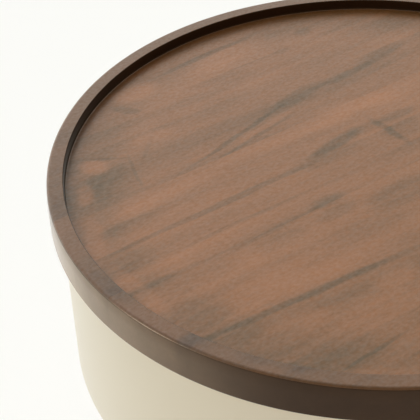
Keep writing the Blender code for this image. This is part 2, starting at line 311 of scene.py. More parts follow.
low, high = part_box("floor_hoop")
floor_hoop = start_ring("floor_hoop_plywood", low, high, HOOP_WIDTH)
round_edges(on_ring(high.x - HOOP_WIDTH, low.z), SAWN_EDGE_ROUND)
round_edges(on_ring(high.x, low.z), SAWN_EDGE_ROUND)
drill_for(floor_hoop, HOOP_SCREWS)
shade(floor_hoop)
dress(floor_hoop, birch_plywood("birch_plywood_hoop", "floor_hoop", HOOP_PLIES), "base", "birch_plywood",
      "floor_hoop")


# Floor panel: a round of birch plywood that closes the drum from below and lies on the hoop.
# Its edge is sanded. The hoop's screws and the leg plates' screws are driven up into it.
FLOOR_PLIES = 9
LEG_COUNT = 4
SCREWS_PER_PLATE = 4
PLATE_SCREWS = numbered("plate_screw", LEG_COUNT * SCREWS_PER_PLATE)

low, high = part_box("drum_floor")
drum_floor = start("drum_floor_plywood", bpy.ops.mesh.primitive_cylinder_add, vertices=LARGE_SIDES,
                   radius=high.x, depth=high.z - low.z, location=(0, 0, (low.z + high.z) / 2))
round_edges(on_ring(high.x, high.z), SAWN_EDGE_ROUND)
drill_for(drum_floor, HOOP_SCREWS + PLATE_SCREWS)
shade(drum_floor)
dress(drum_floor, birch_plywood("birch_plywood_floor", "drum_floor", FLOOR_PLIES), "base", "birch_plywood",
      "drum_floor")


# Hoop screws: six countersunk wood screws of zinc-plated steel, which pull the floor panel down on the hoop.
# A screw is rolled from wire, and its flat head is pressed with a cross recess.
# The same kind, in other lengths, holds the leg plates and the register ring.
SCREW_SIDES = 48
SCREW_POINT = 3 * MM
SCREW_POINT_SHARE = 0.12
HEAD_EDGE_ROUND = 0.12 * MM
RECESS_REACH = 4.0 * MM
RECESS_WIDTH = 0.9 * MM
RECESS_DEPTH = 1.5 * MM
RECESS_TAPER = 0.5
SCREW_TURN = math.radians(137.5)
ZINC = "#C9CBCB"
ZINC_DULL = "#AEB1B0"
ZINC_GRAIN = 1.6 * MM
ZINC_DEPTH = 0.02 * MM
ZINC_ROUGHNESS = (0.26, 0.46)


def zinc_plated_steel():
    """Bright zinc plate on rolled steel: a pale grey metal, half dull, with a fine crystal clouding."""
    finish, tree = new_finish("zinc_plated_steel")
    place = node(tree, "TexCoord", out="Object")
    crystal = node(tree, "TexNoise", {"Vector": place, "Scale": 1 / ZINC_GRAIN, "Detail": 3.0})
    colour = node(tree, "Mix", {"Factor_Float": crystal, "A_Color": linear(ZINC),
                                "B_Color": linear(ZINC_DULL)}, out=2, data_type="RGBA")
    gloss = node(tree, "MapRange", {"Value": crystal, "To Min": ZINC_ROUGHNESS[0],
                                    "To Max": ZINC_ROUGHNESS[1]})
    relief = node(tree, "Bump", {"Height": crystal, "Strength": 0.15, "Distance": ZINC_DEPTH})
    shader = node(tree, "BsdfPrincipled", {"Base Color": colour, "Metallic": 1.0, "Roughness": gloss,
                                           "Normal": relief})
    node(tree, "OutputMaterial", {"Surface": shader})
    return finish


def copy_of(made, name, matrix):
    """A copy of a piece with a mesh of its own, moved into place in that mesh."""
    copy = made.copy()
    copy.data = made.data.copy()
    copy.name = name
    copy.data.name = name
    copy.data.transform(matrix)
    bpy.context.scene.collection.objects.link(copy)
    return copy


def fit_screws(screws, finish, body):
    """Models a screw of the frame's length, head down, and puts a copy in each of those screws' places."""
    low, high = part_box(screws[0])
    cone = SCREW_HEAD_RADIUS - SCREW_SHANK_RADIUS
    point_start = high.z - low.z - SCREW_POINT
    screw = start("screw", bpy.ops.mesh.primitive_cone_add, vertices=SCREW_SIDES, radius1=SCREW_HEAD_RADIUS,
                  radius2=SCREW_SHANK_RADIUS, depth=cone, location=(0, 0, cone / 2))
    pick("FACE", faces_along(UP))
    extrude(point_start - cone)
    extrude(SCREW_POINT)
    bpy.ops.transform.resize(value=(SCREW_POINT_SHARE, SCREW_POINT_SHARE, 1), center_override=(0, 0, 0))
    round_edges(on_ring(SCREW_HEAD_RADIUS, 0), HEAD_EDGE_ROUND)
    bpy.ops.object.mode_set(mode="OBJECT")
    for turn in (0, math.pi / 2):
        blade = start("blade", bpy.ops.mesh.primitive_cube_add, size=1, rotation=(0, 0, turn),
                      scale=(RECESS_REACH, RECESS_WIDTH, 2 * RECESS_DEPTH))
        pick("FACE", faces_along(UP))
        bpy.ops.transform.resize(value=(RECESS_TAPER, RECESS_TAPER, 1), center_override=(0, 0, 0))
        bpy.ops.object.mode_set(mode="OBJECT")
        combine(screw, blade, "DIFFERENCE")
    shade(screw)
    for i, name in enumerate(screws):
        low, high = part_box(name)
        middle = (low + high) / 2
        place = Matrix.Translation((middle.x, middle.y, low.z)) @ Matrix.Rotation(i * SCREW_TURN, 4, "Z")
        dress(copy_of(screw, f"{name}_zinc", place), finish, body, "zinc_plated_steel", name)
    bpy.data.objects.remove(screw)


zinc_finish = zinc_plated_steel()
fit_screws(HOOP_SCREWS, zinc_finish, "base")


# Leg plates: four square steel plates with round corners, screwed up under the floor panel.
# Each has a boss welded on and faced square to its slanted leg, and all is zinc plated after welding.
PLATE_SIDE = 72 * MM
PLATE_THICKNESS = 2.5 * MM
PLATE_CORNER_ROUND = 8 * MM
PLATE_EDGE_ROUND = 0.5 * MM
BOSS_RADIUS = 17 * MM
BOSS_STOCK = 4 * BOSS_RADIUS
BOSS_SIDES = 96
WELD_SIZE = 1.5 * MM
BOLT_HOLE_RADIUS = 4.3 * MM
SEAT = 0.3 * MM

low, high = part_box("leg_plate_1")
pad_low, pad_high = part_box("leg_pad_1")
plate_under = high.z - PLATE_THICKNESS
plate_circle = ((low + high) / 2).xy.length
foot_height = pad_high.z + SEAT
foot_out = ((pad_low + pad_high) / 2).xy.length - plate_circle
splay = math.atan(foot_out / (plate_under - foot_height))
boss_depth = (plate_under - low.z) * math.cos(splay) - BOSS_RADIUS * math.sin(splay)
leg_down = Vector((math.sin(splay), 0, -math.cos(splay)))
leg_slant = Matrix.Rotation(-splay, 4, "Y")

leg_plate = start("leg_plate", bpy.ops.mesh.primitive_cube_add, size=1,
                  scale=(PLATE_SIDE, PLATE_SIDE, PLATE_THICKNESS), location=(0, 0, PLATE_THICKNESS / 2))
round_edges(lambda edge: abs(edge.verts[0].co.z - edge.verts[1].co.z) > NEAR, PLATE_CORNER_ROUND)
round_edges(lambda edge: abs(edge.verts[0].co.z - edge.verts[1].co.z) < NEAR, PLATE_EDGE_ROUND)
bpy.ops.object.mode_set(mode="OBJECT")
boss = start("boss", bpy.ops.mesh.primitive_cylinder_add, vertices=BOSS_SIDES, radius=BOSS_RADIUS,
             depth=BOSS_STOCK, location=(0, 0, (PLATE_THICKNESS - BOSS_STOCK) / 2))
bpy.ops.mesh.select_all(action="SELECT")
bpy.ops.mesh.bisect(plane_co=leg_down * boss_depth, plane_no=leg_down, use_fill=True, clear_outer=True)
round_edges(lambda edge: all(abs(v.co.dot(leg_down) - boss_depth) < NEAR for v in edge.verts),
            PLATE_EDGE_ROUND)
bpy.ops.object.mode_set(mode="OBJECT")
combine(leg_plate, boss, "UNION")
bpy.ops.object.mode_set(mode="EDIT")
round_edges(on_ring(BOSS_RADIUS, 0), WELD_SIZE)
bpy.ops.object.mode_set(mode="OBJECT")
bolt_drill = start("bolt_drill", bpy.ops.mesh.primitive_cylinder_add, vertices=HOLE_SIDES,
                   radius=BOLT_HOLE_RADIUS, depth=BOSS_STOCK, rotation=(0, -splay, 0))
bpy.ops.object.mode_set(mode="OBJECT")
combine(leg_plate, bolt_drill, "DIFFERENCE")

plate_places = []
for i in range(1, LEG_COUNT + 1):
    low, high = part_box(f"leg_plate_{i}")
    middle = (low + high) / 2
    outwards = math.atan2(middle.y, middle.x)
    place = Matrix.Translation((middle.x, middle.y, plate_under)) @ Matrix.Rotation(outwards, 4, "Z")
    plate_places.append(place)
    plate = copy_of(leg_plate, f"leg_plate_{i}_zinc", place)
    bpy.context.view_layer.objects.active = plate
    drill_for(plate, PLATE_SCREWS[(i - 1) * SCREWS_PER_PLATE:i * SCREWS_PER_PLATE])
    shade(plate)
    dress(plate, zinc_finish, "base", "zinc_plated_steel", f"leg_plate_{i}")
bpy.data.objects.remove(leg_plate)


# Plate screws: four short countersunk screws of zinc-plated steel in the corners of each leg plate.
# They are rolled like the hoop's screws, sit flush in the plate, and are driven up into the floor panel.
fit_screws(PLATE_SCREWS, zinc_finish, "base")


# Hanger bolts: steel studs between each plate and its leg, screwed in until the leg seats on the boss.
# They are wholly hidden inside both, so the frame's plain studs stay and get the zinc finish.
for i in range(1, LEG_COUNT + 1):
    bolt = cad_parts[f"hanger_bolt_{i}"]
    bolt.data.materials.clear()
    bolt.data.materials.append(zinc_finish)


# Legs: four round, tapered legs turned from solid wood, stained walnut and sealed like the tray.
# Each is bored at the top for its hanger bolt, leans outwards, and has its foot sawn level with the floor.
LEG_SIDES = 96
LEG_TOP_RADIUS = 22 * MM
LEG_FOOT_RADIUS = 13 * MM
LEG_TOP_ROUND = 2.5 * MM
LEG_FOOT_ROUND = 0.8 * MM
LEG_BORE_DEPTH = 36.3 * MM
LEG_LIGHT = "#7A5334"
LEG_MID = "#62412A"
LEG_DARK = "#3F2B1C"
LEG_GRAIN_STEP = Vector((0.61, 0.23, 0.37))
LEG_SEED = 3.0
LEG_ROUGHNESS = (0.34, 0.46)
GRAIN_WAVE = (180 * MM, 90 * MM)
GRAIN_SWING = (0, 24 * MM, 12 * MM)

# Growth bands, fine lines, pores, flecks and stain clouds: length and width in millimetres, detail and
# strength. Real pores are 0.2 mm wide, and are drawn at 0.9 mm, because finer ones don't show
WALNUT_LAYERS = (
    (320, 16, 2.0, 0.62),
    (110, 4.0, 3.0, 0.32),
    (5, 0.9, 2.0, 0.25),
    (3, 2.0, 2.0, 0.28),
    (60, 34, 3.0, 0.36),
)


def walnut_figure(tree, board, seed):
    """How darkly stain took on a board whose X runs along the grain, about 0.5 and seldom past 0 or 1."""
    waves = node(tree, "Mapping", {"Vector": board, "Scale": per(*GRAIN_WAVE)})
    bend = node(tree, "TexNoise", {"Vector": waves, "Scale": 1.0, "Detail": 1.0}, out="Color")
    bent = node(tree, "VectorMath", {"Vector": bend, "Vector_001": GRAIN_SWING, "Vector_002": board},
                operation="MULTIPLY_ADD")
    dark = 0.5 - sum(strength for *_, strength in WALNUT_LAYERS) / 2
    for length, width, detail, strength in WALNUT_LAYERS:
        place = node(tree, "Mapping", {"Vector": bent, "Scale": per(length * MM, width * MM)})
        layer = node(tree, "TexNoise", {"Vector": place, "W": seed, "Scale": 1.0, "Detail": detail},
                     noise_dimensions="4D")
        dark = node(tree, "Math", {"Value": layer, "Value_001": strength, "Value_002": dark},
                    operation="MULTIPLY_ADD")
    return dark


def stained_walnut_leg():
    """Turned wood in a walnut stain under a satin seal: dark brown, with straight grain down the leg."""
    finish, tree = new_finish("stained_walnut_turned")
    board = node(tree, "Attribute", out="Vector", attribute_name="along_leg")
    dark = walnut_figure(tree, board, LEG_SEED)
    colour = node(tree, "ValToRGB", {"Fac": dark}, stops=[(0.1, linear(LEG_LIGHT)), (0.5, linear(LEG_MID)),
                                                          (0.95, linear(LEG_DARK))])
    gloss = node(tree, "MapRange", {"Value": dark, "To Min": LEG_ROUGHNESS[0], "To Max": LEG_ROUGHNESS[1]})
    relief = node(tree, "Bump", {"Height": dark, "Strength": 0.25, "Distance": -GRAIN_DEPTH})
    shader = node(tree, "BsdfPrincipled", {"Base Color": colour, "Roughness": gloss, "IOR": WOOD_IOR,
                                           "Normal": relief})
    node(tree, "OutputMaterial", {"Surface": shader})
    return finish


leg_length = (plate_under - foot_height) / math.cos(splay)
leg_top = -boss_depth - SEAT
leg_spare = 2 * LEG_FOOT_RADIUS
leg_taper = (LEG_TOP_RADIUS - LEG_FOOT_RADIUS) / (leg_length + leg_top)
leg = start("leg", bpy.ops.mesh.primitive_cone_add, vertices=LEG_SIDES,
            radius1=LEG_FOOT_RADIUS - leg_taper * leg_spare, radius2=LEG_TOP_RADIUS,
            depth=leg_length + leg_spare + leg_top, location=(0, 0, (leg_top - leg_length - leg_spare) / 2))
level = Vector((-math.sin(splay), 0, -math.cos(splay)))
bpy.ops.mesh.select_all(action="SELECT")
bpy.ops.mesh.bisect(plane_co=(0, 0, -leg_length), plane_no=level, use_fill=True, clear_outer=True)
foot_reach = Vector((0, 0, -leg_length)).dot(level)
round_edges(lambda edge: all(abs(v.co.dot(level) - foot_reach) < NEAR for v in edge.verts), LEG_FOOT_ROUND)
round_edges(on_ring(LEG_TOP_RADIUS, leg_top), LEG_TOP_ROUND)
pick("FACE", faces_along(UP))
bpy.ops.mesh.inset(thickness=LEG_TOP_RADIUS - LEG_TOP_ROUND - BOLT_HOLE_RADIUS)
extrude(-LEG_BORE_DEPTH)
shade(leg)

walnut_leg_finish = stained_walnut_leg()
for i, place in enumerate(plate_places, 1):
    standing = copy_of(leg, f"leg_{i}_walnut", Matrix.Identity(4))
    grain = standing.data.attributes.new("along_leg", "FLOAT_VECTOR", "POINT")
    for vertex, mark in zip(standing.data.vertices, grain.data):
        mark.vector = Vector((vertex.co.z, vertex.co.x, vertex.co.y)) + i * LEG_GRAIN_STEP
    standing.data.transform(place @ leg_slant)
    dress(standing, walnut_leg_finish, "base", "walnut_stained_wood", f"leg_{i}")
bpy.data.objects.remove(leg)


# Leg pads: discs of grey pressed felt glued under the legs, so that the table slides without scratching.
# They are punched from sheet, so their edge is square and a little fuzzy.
PAD_SIDES = 64
FELT_EDGE_ROUND = 0.25 * MM
FELT = "#6F6B66"
FELT_DARK = "#4B4845"
FELT_FIBRE = 0.7 * MM
FELT_NAP = 0.2 * MM
FELT_ROUGHNESS = 0.95


def grey_felt():
    """Pressed wool felt: a matt grey of mixed fibres, soft at grazing light."""
    finish, tree = new_finish("grey_pressed_felt")
    place = node(tree, "TexCoord", out="Object")
    # Fibres of 0.03 mm are drawn as flocks of 0.7 mm, because finer ones don't show
    fibre = node(tree, "TexNoise", {"Vector": place, "Scale": 1 / FELT_FIBRE, "Detail": 4.0,
                                    "Roughness": 0.7, "Distortion": 1.5})
    colour = node(tree, "Mix", {"Factor_Float": fibre, "A_Color": linear(FELT_DARK),
                                "B_Color": linear(FELT)}, out=2, data_type="RGBA")
    relief = node(tree, "Bump", {"Height": fibre, "Strength": 0.8, "Distance": FELT_NAP})
    shader = node(tree, "BsdfPrincipled", {"Base Color": colour, "Roughness": FELT_ROUGHNESS,
                                           "Sheen Weight": 0.3, "Sheen Roughness": 0.5, "Normal": relief})
    node(tree, "OutputMaterial", {"Surface": shader})
    return finish


def fit_pads(pads, finish, body):
    """Models a felt disc of the frame's size, and puts a copy in each of those pads' places."""
    low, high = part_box(pads[0])
    radius = (high.x - low.x) / 2
    pad = start("pad", bpy.ops.mesh.primitive_cylinder_add, vertices=PAD_SIDES, radius=radius,
                depth=high.z - low.z, location=(0, 0, (low.z + high.z) / 2))
    for height in (low.z, high.z):
        round_edges(on_ring(radius, height), FELT_EDGE_ROUND)
    shade(pad)
    for name in pads:
        pad_low, pad_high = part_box(name)
        middle = (pad_low + pad_high) / 2
        dress(copy_of(pad, f"{name}_felt", Matrix.Translation((middle.x, middle.y, 0))), finish, body,
              "grey_felt", name)
    bpy.data.objects.remove(pad)


felt_finish = grey_felt()
fit_pads(numbered("leg_pad", LEG_COUNT), felt_finish, "base")


# Tray top: a lid edge-glued from staves and milled as one piece, with a raised, flat-topped rim.
# The rim's edges are sanded round, and the recess keeps the small cove that the cutter leaves.
# It is stained walnut, which takes darkest on the upright end grain, and lacquered satin.
TRAY_SIDES = 480
RIM_WIDTH = 12 * MM
RECESS_DROP = 8 * MM
RIM_OUTER_ROUND = 2.0 * MM
RIM_INNER_ROUND = 0.8 * MM
RECESS_COVE = 1.5 * MM
TRAY_FOOT_ROUND = 1.3 * MM
SIDE_EASE = 0.7 * MM
SIDE_EASE_DEPTH = 10 * MM
SIDE_EASE_STEPS = 4
RIM_SANDED_DEPTH = 1.4 * MM
STEEP_BELOW = -0.5
NEARLY_LEVEL = 0.95
RIM_SLOT = 1
END_GRAIN_SLOT = 2
REGISTER_SCREWS = numbered("register_screw", SCREWS_PER_RING)
STAVE_TURN = math.radians(33)
STAVE_CONTRAST = 0.55
STAVE_SEED_STEP = 40.0
FIGURE_WAVE = (50 * MM, 12 * MM)
FIGURE_SWING = (6 * MM, 6 * MM, 0)
FIGURE_FADE = 0.6
FIGURE_STRENGTH = 0.6
WALNUT_LIGHT = "#A06538"
WALNUT_MID = "#88572F"
WALNUT_DARK = "#583E1C"
RIM_LIGHT = "#7A5032"
RIM_MID = "#6D4829"
RIM_DARK = "#4E3726"
END_GRAIN_LIGHT = "#3D2818"
END_GRAIN_MID = "#301F13"
END_GRAIN_DARK = "#22140D"
STAINED_ROUGHNESS = (0.30, 0.42)
LACQUER_ROUGHNESS = 0.32
LACQUER_IN_PORES = 0.43
LACQUER_ON_WOOD = 0.75
PORE_SPECK = (3.2 * MM, 2.1 * MM, 2.1 * MM)
# Painted shade: the panel darkens between these two radii, as if shaded by the rim wall
RIM_SHADE_BEGINS = 165 * MM
RIM_SHADE_FULL = 192 * MM
PAINTED_RIM_SHADE = 0.20
END_GRAIN_ROUGHNESS = (0.46, 0.56)
END_GRAIN_IOR = 1.40
END_GRAIN_TINT = "#FFD5AD"
END_GRAIN_HAZE = 0.5

# Staves: where each begins across the boards, in millimetres from the middle, and how darkly it took stain
STAVES = (
    (-225, 0.42),
    (-150, 0.58),
    (-82, 0.38),
    (-18, 0.52),
    (2, 0.44),
    (25, 0.34),
    (67, 0.64),
    (112, 0.50),
    (158, 0.36),
)

# Dark lines and bands, in millimetres and degrees: the middle's x and y, the turn,
# half the length, half the width, and the depth of the stain
DARK_FIGURE = (
    (-52, -131, 29, 108, 4.4, 0.58),
    (-105, -38, 33, 116, 3.4, 0.46),
    (-105, -66, 33, 78, 2.8, 0.22),
    (-68, -65, 36, 60, 3.2, 0.22),
    (-36, -41, 35, 20, 7.0, 0.32),
    (-22, 26, 41, 36, 8.0, 0.58),
    (-93, 39, 46, 66, 2.8, 0.44),
    (-80, 36, 44, 60, 2.2, 0.26),
    (-45, 88, 42, 38, 9.0, 0.32),
    (-5, 115, 34, 40, 6.5, 0.36),
    (24, 142, 38, 34, 9.0, 0.28),
    (17, 38, -55, 30, 4.5, 0.38),
    (25, 58, 30, 26, 6.5, 0.40),
    (26, 42, 35, 24, 17, 0.24),
    (18, -34, 33, 42, 16, 0.46),
    (-180, -10, 70, 32, 24, 0.27),
    (-184, 19, 0, 26, 2.0, 0.24),
    (-165, 4, 105, 28, 2.0, 0.24),
    (-156, 30, 78, 22, 2.6, 0.18),
    (-165, -57, 33, 32, 12, 0.27),
    (-113, 150, 36, 60, 3.6, 0.42),
    (-172, 80, -15, 16, 6.0, 0.34),
    (-52, 155, 50, 12, 7.0, 0.24),
    (-33, 181, 20, 10, 9.0, 0.26),
    (-97, 116, 23, 36, 9.0, 0.18),
    (-32, 10, 33, 40, 12, 0.26),
    (-70, -80, 33, 30, 10, 0.20),
    (-30, -52, 35, 24, 8.0, 0.20),
    (-118, -112, 33, 36, 10, 0.24),
    (0, 42, 33, 24, 8.0, 0.24),
    (-118, -150, 35, 26, 11, 0.22),
    (-20, -184, 36, 34, 2.2, 0.30),
    (-126, -175, 30, 18, 9.0, 0.50),
    (-176, -127, -50, 30, 9.0, 0.44),
    (-76, -198, -18, 32, 10, 0.32),
    (120, -60, 31, 110, 4.0, 0.46),
    (95, 40, 34, 80, 6.0, 0.36),
    (110, 110, 33, 60, 4.0, 0.36),
    (70, -150, 30, 96, 3.6, 0.40),
)

# Paler patches, listed in the same way, where the wood is orange
PALE_FIGURE = (
    (-95, 148, 38, 50, 14, 0.32),
    (-166, 103, 30, 26, 14, 0.58),
    (-152, 44, 30, 22, 9.0, 0.26),
    (0, 74, 20, 48, 11, 0.26),
    (-22, 52, 35, 24, 8.0, 0.14),
    (-72, 50, 44, 44, 3.5, 0.28),
    (-193, 10, 0, 14, 11, 0.62),
    (-198, -22, 90, 16, 8.0, 0.42),
    (-148, -30, 35, 60, 8.0, 0.26),
    (-190, -68, 100, 28, 9.0, 0.28),
    (-160, -122, -52, 38, 8.0, 0.26),
    (-75, -112, 33, 46, 9.0, 0.16),
    (-30, -147, 25, 44, 9.0, 0.20),
    (-70, -165, 33, 42, 14, 0.34),
    (0, -122, 30, 24, 9.0, 0.30),
    (-147, -158, -45, 24, 8.0, 0.18),
    (-22, -205, -5, 34, 9.0, 0.20),
    (140, -10, 32, 60, 12, 0.28),
    (90, 150, 33, 60, 10, 0.28),
)


def stave_darkness(tree, radius, height):
    """How darkly the stain took all over the tray: the staves' own tones, their grain and the figure."""
    place = node(tree, "TexCoord", out="Object")
    board = node(tree, "Mapping", {"Vector": place, "Rotation": (0, 0, -STAVE_TURN)})
    across = node(tree, "MapRange", {"Value": node(tree, "SeparateXYZ", {"Vector": board}, out="Y"),
                                     "From Min": -radius, "From Max": radius})
    stops = [((begin * MM + radius) / (2 * radius), (tone, tone, tone, 1)) for begin, tone in STAVES]
    stave = node(tree, "ValToRGB", {"Fac": across}, stops=stops, steps="CONSTANT")
    seed = node(tree, "Math", {"Value": stave, "Value_001": STAVE_SEED_STEP}, operation="MULTIPLY")
    dark = walnut_figure(tree, board, seed)
    dark = node(tree, "Math", {"Value": stave, "Value_001": STAVE_CONTRAST, "Value_002": dark},
                operation="MULTIPLY_ADD")
    dark = node(tree, "Math", {"Value": dark, "Value_001": STAVE_CONTRAST / 2}, operation="SUBTRACT")
    waves = node(tree, "Mapping", {"Vector": board, "Scale": per(*FIGURE_WAVE)})
    wobble = node(tree, "TexNoise", {"Vector": waves, "Scale": 1.0, "Detail": 2.0}, out="Color")
    centred = node(tree, "VectorMath", {"Vector": wobble, "Vector_001": (0.5, 0.5, 0.5)},
                   operation="SUBTRACT")
    wavy = node(tree, "VectorMath", {"Vector": centred, "Vector_001": FIGURE_SWING, "Vector_002": place},
                operation="MULTIPLY_ADD")
    pale = [mark[:-1] + (-mark[-1],) for mark in PALE_FIGURE]
    for x, y, turn, length, width, depth in list(DARK_FIGURE) + pale:
        patch = node(tree, "Mapping", {"Vector": wavy, "Location": (x * MM, y * MM, height),
                                       "Rotation": (0, 0, math.radians(turn)),
                                       "Scale": (length * MM, width * MM, 1)}, vector_type="TEXTURE")
        inside = node(tree, "TexGradient", {"Vector": patch}, out="Fac", gradient_type="SPHERICAL")
        strength = node(tree, "MapRange", {"Value": inside, "From Max": FIGURE_FADE},
                        interpolation_type="SMOOTHSTEP")
        dark = node(tree, "Math", {"Value": strength, "Value_001": FIGURE_STRENGTH * depth,
                                   "Value_002": dark}, operation="MULTIPLY_ADD")
    return dark


def stained_walnut(name, tones, radius, height, painted_shade):
    """Flat-sanded staves in a walnut stain under a satin lacquer: brown, streaked with grey, with a soft
    mirror, and darker in a margin along the rim, where the rim wall's shade is painted into the colour."""
    finish, tree = new_finish(name)
    place = node(tree, "TexCoord", out="Object")
    flat = node(tree, "Mapping", {"Vector": place, "Scale": (1, 1, 0)})
    from_middle = node(tree, "VectorMath", {"Vector": flat}, out="Value", operation="LENGTH")
    # Painted shade: darker towards the rim wall
    rim_shade = node(tree, "MapRange", {"Value": from_middle, "From Min": RIM_SHADE_BEGINS, "From Max": RIM_SHADE_FULL,
                                     "To Max": painted_shade}, interpolation_type="SMOOTHSTEP")
    dark = node(tree, "Math", {"Value": stave_darkness(tree, radius, height), "Value_001": rim_shade})
    colour = node(tree, "ValToRGB", {"Fac": dark}, stops=list(zip((0.05, 0.5, 1.0), map(linear, tones))))
    gloss = node(tree, "MapRange", {"Value": dark, "To Min": STAINED_ROUGHNESS[0],
                                    "To Max": STAINED_ROUGHNESS[1]})
    relief = node(tree, "Bump", {"Height": dark, "Strength": 0.35, "Distance": -GRAIN_DEPTH})
    # Lacquer sinks into pores of 0.2 mm, and their specks are drawn at 2 to 3 mm, because finer ones
    # don't show
    specks = node(tree, "Mapping", {"Vector": place, "Scale": PORE_SPECK, "Rotation": (0, 0, STAVE_TURN)},
                  vector_type="TEXTURE")
    sunk = node(tree, "TexNoise", {"Vector": specks, "Scale": 1.0, "Detail": 2.0, "Roughness": 0.6})
    lacquer = node(tree, "MapRange", {"Value": sunk, "From Min": 0.3, "From Max": 0.7,
                                      "To Min": LACQUER_IN_PORES, "To Max": LACQUER_ON_WOOD})
    shader = node(tree, "BsdfPrincipled", {"Base Color": colour, "Roughness": gloss, "IOR": WOOD_IOR,
                                           "Specular IOR Level": lacquer, "Coat Weight": lacquer,
                                           "Coat Roughness": LACQUER_ROUGHNESS, "Normal": relief})
    node(tree, "OutputMaterial", {"Surface": shader})
    return finish


def stained_end_grain(radius, height):
    """The milled upright sides, where open grain drank the stain and the lacquer: nearly black, with a haze
    that only shows at a slant."""
    finish, tree = new_finish("stained_walnut_end_grain")
    dark = stave_darkness(tree, radius, height)
    colour = node(tree, "ValToRGB", {"Fac": dark}, stops=[(0.05, linear(END_GRAIN_LIGHT)),
                                                          (0.5, linear(END_GRAIN_MID)),
                                                          (1.0, linear(END_GRAIN_DARK))])
    gloss = node(tree, "MapRange", {"Value": dark, "To Min": END_GRAIN_ROUGHNESS[0],
                                    "To Max": END_GRAIN_ROUGHNESS[1]})
    relief = node(tree, "Bump", {"Height": dark, "Strength": 0.2, "Distance": -GRAIN_DEPTH})
    shader = node(tree, "BsdfPrincipled", {"Base Color": colour, "Roughness": gloss, "IOR": END_GRAIN_IOR,
                                           "Specular Tint": linear(END_GRAIN_TINT),
                                           "Sheen Weight": END_GRAIN_HAZE, "Sheen Roughness": 0.3,
                                           "Normal": relief})
    node(tree, "OutputMaterial", {"Surface": shader})
    return finish


low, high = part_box("tray_top")
rim_bore = high.x - RIM_WIDTH
rim_middle = high.x - RIM_WIDTH / 2
tray_top = start("tray_top_walnut", bpy.ops.mesh.primitive_cylinder_add, vertices=TRAY_SIDES, radius=high.x,
                 depth=high.z - low.z, location=(0, 0, (low.z + high.z) / 2))
pick("FACE", faces_along(UP))
bpy.ops.mesh.inset(thickness=RIM_WIDTH)
extrude(-RECESS_DROP)
for step in range(1, SIDE_EASE_STEPS + 1):
    bpy.ops.mesh.select_all(action="SELECT")
    bpy.ops.mesh.bisect(plane_co=(0, 0, high.z - SIDE_EASE_DEPTH * step / SIDE_EASE_STEPS), plane_no=UP)
for step in range(SIDE_EASE_STEPS):
    pick("EDGE", on_ring(high.x, high.z - SIDE_EASE_DEPTH * step / SIDE_EASE_STEPS))
    shrink = 1 - SIDE_EASE * (1 - step / SIDE_EASE_STEPS) ** 2 / high.x
    bpy.ops.transform.resize(value=(shrink, shrink, 1), center_override=(0, 0, 0))
round_edges(on_ring(high.x - SIDE_EASE, high.z), RIM_OUTER_ROUND)
round_edges(on_ring(rim_bore, high.z), RIM_INNER_ROUND)
round_edges(on_ring(rim_bore, high.z - RECESS_DROP), RECESS_COVE)
round_edges(on_ring(high.x, low.z), TRAY_FOOT_ROUND)
drill_for(tray_top, REGISTER_SCREWS)
shade(tray_top)
panel_height = high.z - RECESS_DROP
panel_finish = stained_walnut("stained_walnut_staves", (WALNUT_LIGHT, WALNUT_MID, WALNUT_DARK), high.x,
                              panel_height, PAINTED_RIM_SHADE)
rim_finish = stained_walnut("stained_walnut_rim", (RIM_LIGHT, RIM_MID, RIM_DARK), high.x, panel_height, 0.0)
dress(tray_top, panel_finish, "tray", "walnut_stained_wood", "tray_top")
tray_top.data.materials.append(rim_finish)
tray_top.data.materials.append(stained_end_grain(high.x, panel_height))
for face in tray_top.data.polygons:
    if face.center.xy.length > rim_bore - RECESS_COVE / 2 and face.normal.z > STEEP_BELOW:
        outer_round = face.center.xy.length > rim_middle and face.center.z > high.z - RIM_SANDED_DEPTH
        face.material_index = RIM_SLOT if outer_round or face.normal.z > NEARLY_LEVEL else END_GRAIN_SLOT


# Register ring: a ring of birch plywood under the lid, which drops into the drum's mouth and centres it.
# It is sawn round, its lower corner is eased to lead it in, and six screws hold it up to the tray.
REGISTER_WIDTH = 16 * MM
REGISTER_LEAD_ROUND = 1.5 * MM
REGISTER_PLIES = 9

low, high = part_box("tray_register")
tray_register = start_ring("tray_register_plywood", low, high, REGISTER_WIDTH)
round_edges(on_ring(high.x, low.z), REGISTER_LEAD_ROUND)
round_edges(on_ring(high.x - REGISTER_WIDTH, low.z), SAWN_EDGE_ROUND)
drill_for(tray_register, REGISTER_SCREWS)
shade(tray_register)
dress(tray_register, birch_plywood("birch_plywood_register", "tray_register", REGISTER_PLIES), "tray",
      "birch_plywood", "tray_register")


# Register screws: six countersunk screws of zinc-plated steel, rolled like the hoop's screws.
# They are driven up through the ring into the tray, with their heads flush in the ring's underside.
fit_screws(REGISTER_SCREWS, zinc_finish, "tray")


# Tray pads: six small dots punched from the same grey felt as the leg pads.
# They are glued under the tray, rest on the drum's top edge, and quieten the lid.
TRAY_PAD_COUNT = 6

fit_pads(numbered("tray_pad", TRAY_PAD_COUNT), felt_finish, "tray")


# Floor: a plain studio floor in matt white paint, which keeps the table's shadow.
# It is no part of the table.
FLOOR_SIZE = 30.0
FLOOR_WHITE = "#F9F9F9"


def white_floor():
    """Matt white paint on a smooth studio floor."""
    finish, tree = new_finish("matt_white_paint")
    shader = node(tree, "BsdfDiffuse", {"Color": linear(FLOOR_WHITE)})
    node(tree, "OutputMaterial", {"Surface": shader})
    return finish


floor = start("studio_floor", bpy.ops.mesh.primitive_plane_add, size=FLOOR_SIZE)
bpy.ops.object.mode_set(mode="OBJECT")
floor.data.materials.append(white_floor())


